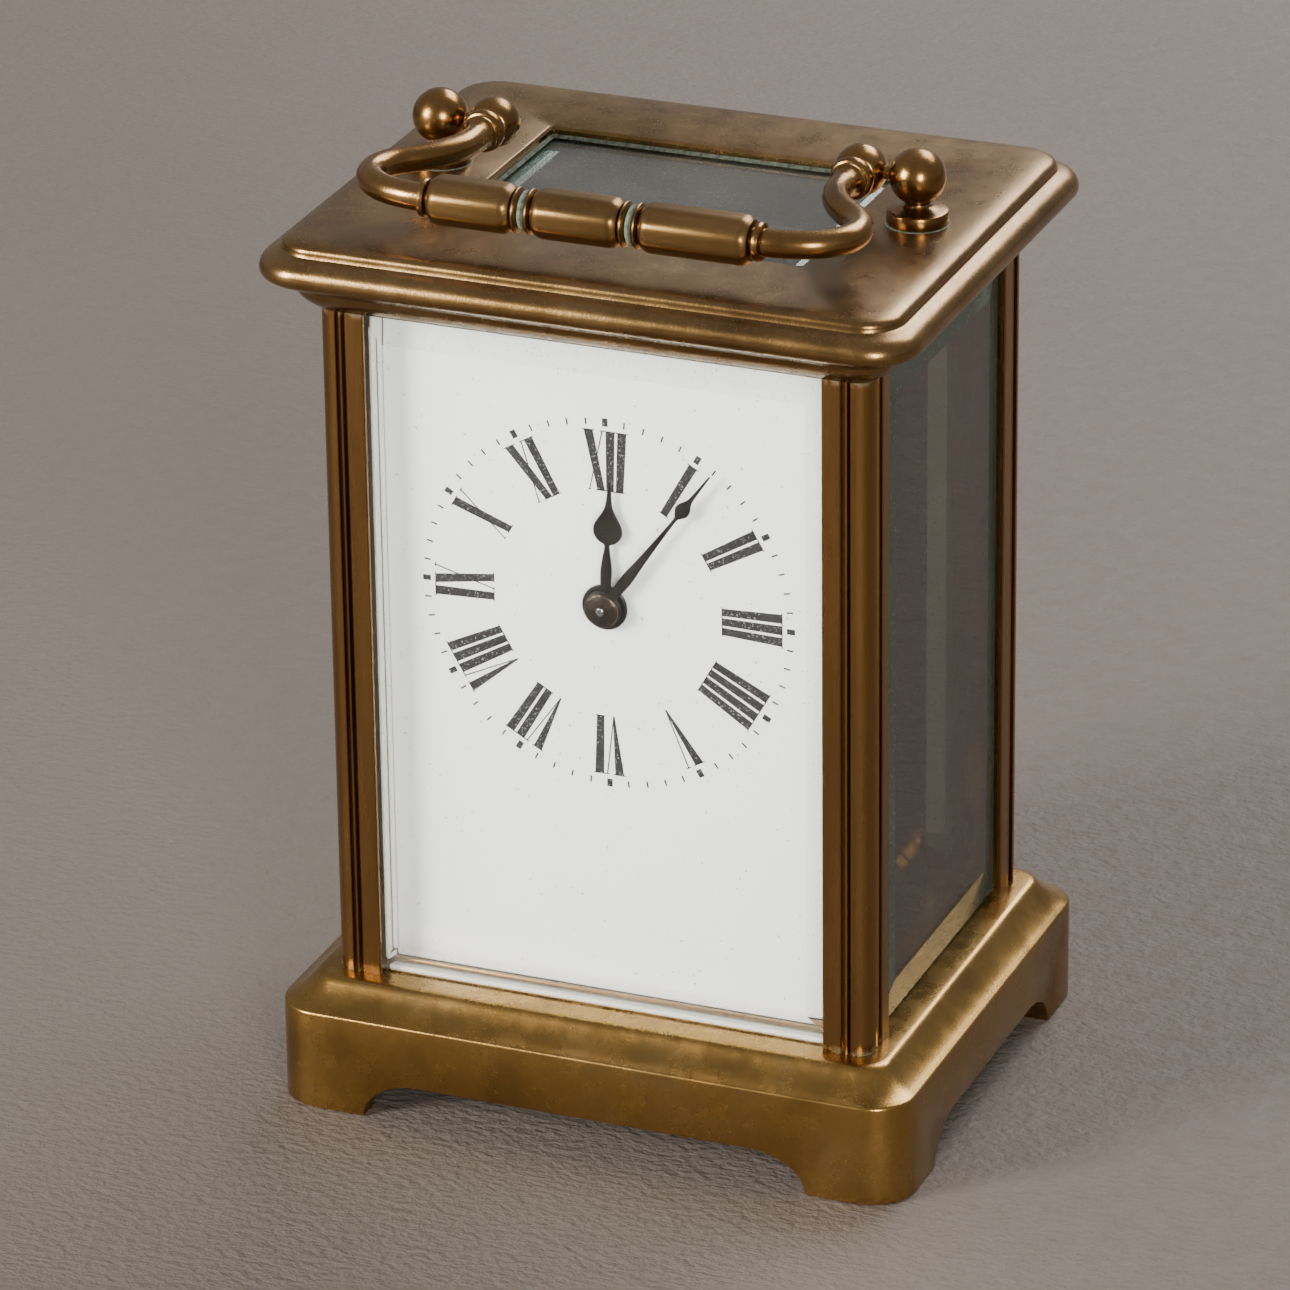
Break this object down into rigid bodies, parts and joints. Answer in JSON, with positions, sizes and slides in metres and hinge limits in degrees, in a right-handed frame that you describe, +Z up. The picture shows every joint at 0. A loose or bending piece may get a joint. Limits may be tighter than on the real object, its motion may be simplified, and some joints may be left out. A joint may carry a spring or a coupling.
{
  "type": "mantel clock",
  "caption": "Brass carriage clock: bevelled glass case on bracket feet, hinged rear door, swinging handle, enamel dial with hands, geared spring movement and platform escapement.",
  "frame": {"origin": "centre of the base's footprint, on the surface that the clock stands on", "axes": "+Z up; the dial faces -Y; +X is to the right as seen from the front"},
  "size_m": [0.0806, 0.0652, 0.1188],
  "materials": {
    "case_brass": "aged and handled, brown-golden, with dust and a little verdigris at the joints",
    "movement_brass": "lacquered brass, satin grained",
    "steel": "polished steel with light wear",
    "blued_steel": "blackened steel, satin",
    "enamel": "fired white enamel, glossy, with black numerals",
    "glass": "clear bevelled plate glass with green edges"
  },
  "bodies": {
    "case": {"base_moulding": "case_brass", "top_cornice": "case_brass", "corner_pillar_front_left": "case_brass", "corner_pillar_front_right": "case_brass", "corner_pillar_rear_left": "case_brass", "corner_pillar_rear_right": "case_brass", "front_glass": "glass", "left_glass": "glass", "right_glass": "glass", "top_glass": "glass", "case_screw_front_left": "steel", "case_screw_front_right": "steel", "case_screw_rear_left": "steel", "case_screw_rear_right": "steel", "door_hinge_pin_bottom": "steel", "door_hinge_pin_top": "steel", "handle_post_left": "case_brass", "handle_post_right": "case_brass", "dial_plate": "enamel", "movement_front_plate": "movement_brass", "movement_back_plate": "movement_brass", "movement_pillar_lower_left": "movement_brass", "movement_pillar_lower_right": "movement_brass", "movement_pillar_upper_left": "movement_brass", "movement_pillar_upper_right": "movement_brass", "click_spring": "steel", "escapement_platform": "movement_brass", "balance_cock": "movement_brass", "hairspring": "blued_steel"},
    "rear_door": {"rear_door_frame": "case_brass", "rear_door_glass": "glass", "door_knob": "case_brass"},
    "handle": {"handle_arm_left": "case_brass", "handle_arm_right": "case_brass", "handle_grip": "case_brass"},
    "centre_and_minute_hand": {"centre_arbor": "steel", "centre_wheel": "movement_brass", "cannon_pinion": "steel", "minute_hand": "blued_steel", "hand_collet": "blued_steel"},
    "hour_hand_and_wheel": {"hour_wheel": "movement_brass", "hour_hand": "blued_steel"},
    "minute_wheel": {"minute_wheel": "movement_brass"},
    "barrel": {"mainspring_barrel": "movement_brass", "barrel_cover": "movement_brass", "mainspring": "steel"},
    "winding_arbor": {"winding_arbor": "steel", "ratchet_wheel": "movement_brass"},
    "click": {"click": "steel"},
    "second_wheel": {"second_arbor": "steel", "second_wheel": "movement_brass"},
    "third_wheel": {"third_arbor": "steel", "third_wheel": "movement_brass"},
    "contrate_wheel": {"contrate_arbor": "steel", "contrate_wheel": "movement_brass"},
    "escape_wheel": {"escape_arbor": "steel", "escape_wheel": "steel"},
    "pallet_lever": {"pallet_lever": "steel"},
    "balance": {"balance_wheel": "movement_brass"},
    "regulator": {"regulator_index": "steel"}
  },
  "joints": [
    {"name": "handle_swing", "type": "hinge", "parent": "case", "child": "handle", "pos_m": [0, 0.001, 0.1155], "axis": [-1, 0, 0], "range_deg": [0, 180]},
    {"name": "rear_door_hinge", "type": "hinge", "parent": "case", "child": "rear_door", "pos_m": [-0.0265, 0.02485, 0.058], "axis": [0, 0, 1], "range_deg": [0, 95]},
    {"name": "hands_turn", "type": "hinge", "parent": "case", "child": "centre_and_minute_hand", "pos_m": [0, 0, 0.0669], "axis": [0, 1, 0], "continuous": true},
    {"name": "hour_hand_turn", "type": "hinge", "parent": "case", "child": "hour_hand_and_wheel", "pos_m": [0, 0, 0.0669], "axis": [0, 1, 0], "continuous": true},
    {"name": "minute_wheel_turn", "type": "hinge", "parent": "case", "child": "minute_wheel", "pos_m": [0, 0, 0.0597], "axis": [0, 1, 0], "continuous": true},
    {"name": "second_wheel_turn", "type": "hinge", "parent": "case", "child": "second_wheel", "pos_m": [0.00196, 0, 0.05445], "axis": [0, 1, 0], "continuous": true},
    {"name": "barrel_turn", "type": "hinge", "parent": "case", "child": "barrel", "pos_m": [-0.004, 0, 0.038], "axis": [0, 1, 0], "continuous": true},
    {"name": "third_wheel_turn", "type": "hinge", "parent": "case", "child": "third_wheel", "pos_m": [0.0041, 0, 0.07881], "axis": [0, 1, 0], "continuous": true},
    {"name": "contrate_wheel_turn", "type": "hinge", "parent": "case", "child": "contrate_wheel", "pos_m": [-0.0065, 0, 0.0825], "axis": [0, 1, 0], "continuous": true},
    {"name": "escape_wheel_turn", "type": "hinge", "parent": "case", "child": "escape_wheel", "pos_m": [-0.0065, -0.0052, 0.096], "axis": [0, 0, 1], "continuous": true},
    {"name": "winding_turn", "type": "hinge", "parent": "case", "child": "winding_arbor", "pos_m": [-0.004, 0, 0.038], "axis": [0, 1, 0], "continuous": true},
    {"name": "click_lift", "type": "hinge", "parent": "case", "child": "click", "pos_m": [0.00109, 0.0153, 0.04444], "axis": [0, -1, 0], "range_deg": [0, 12], "stiffness_Nm_per_rad": 0.0005},
    {"name": "lever_rock", "type": "hinge", "parent": "case", "child": "pallet_lever", "pos_m": [-0.0021, -0.0023, 0.096], "axis": [0, 0, 1], "range_deg": [-5, 5]},
    {"name": "balance_swing", "type": "hinge", "parent": "case", "child": "balance", "pos_m": [0.0029, 0.0015, 0.098], "axis": [0, 0, 1], "range_deg": [-140, 140], "stiffness_Nm_per_rad": 0.00000012},
    {"name": "regulator_turn", "type": "hinge", "parent": "case", "child": "regulator", "pos_m": [0.0029, 0.0015, 0.1018], "axis": [0, 0, 1], "range_deg": [-20, 20]}
  ],
  "couplings": [
    {"joint": "hour_hand_turn", "follows": "hands_turn", "ratio": 0.083333},
    {"joint": "minute_wheel_turn", "follows": "hands_turn", "ratio": -0.33333},
    {"joint": "second_wheel_turn", "follows": "hands_turn", "ratio": -0.16667},
    {"joint": "barrel_turn", "follows": "hands_turn", "ratio": 0.027778},
    {"joint": "third_wheel_turn", "follows": "hands_turn", "ratio": -8},
    {"joint": "contrate_wheel_turn", "follows": "hands_turn", "ratio": 60},
    {"joint": "escape_wheel_turn", "follows": "hands_turn", "ratio": 600}
  ]
}
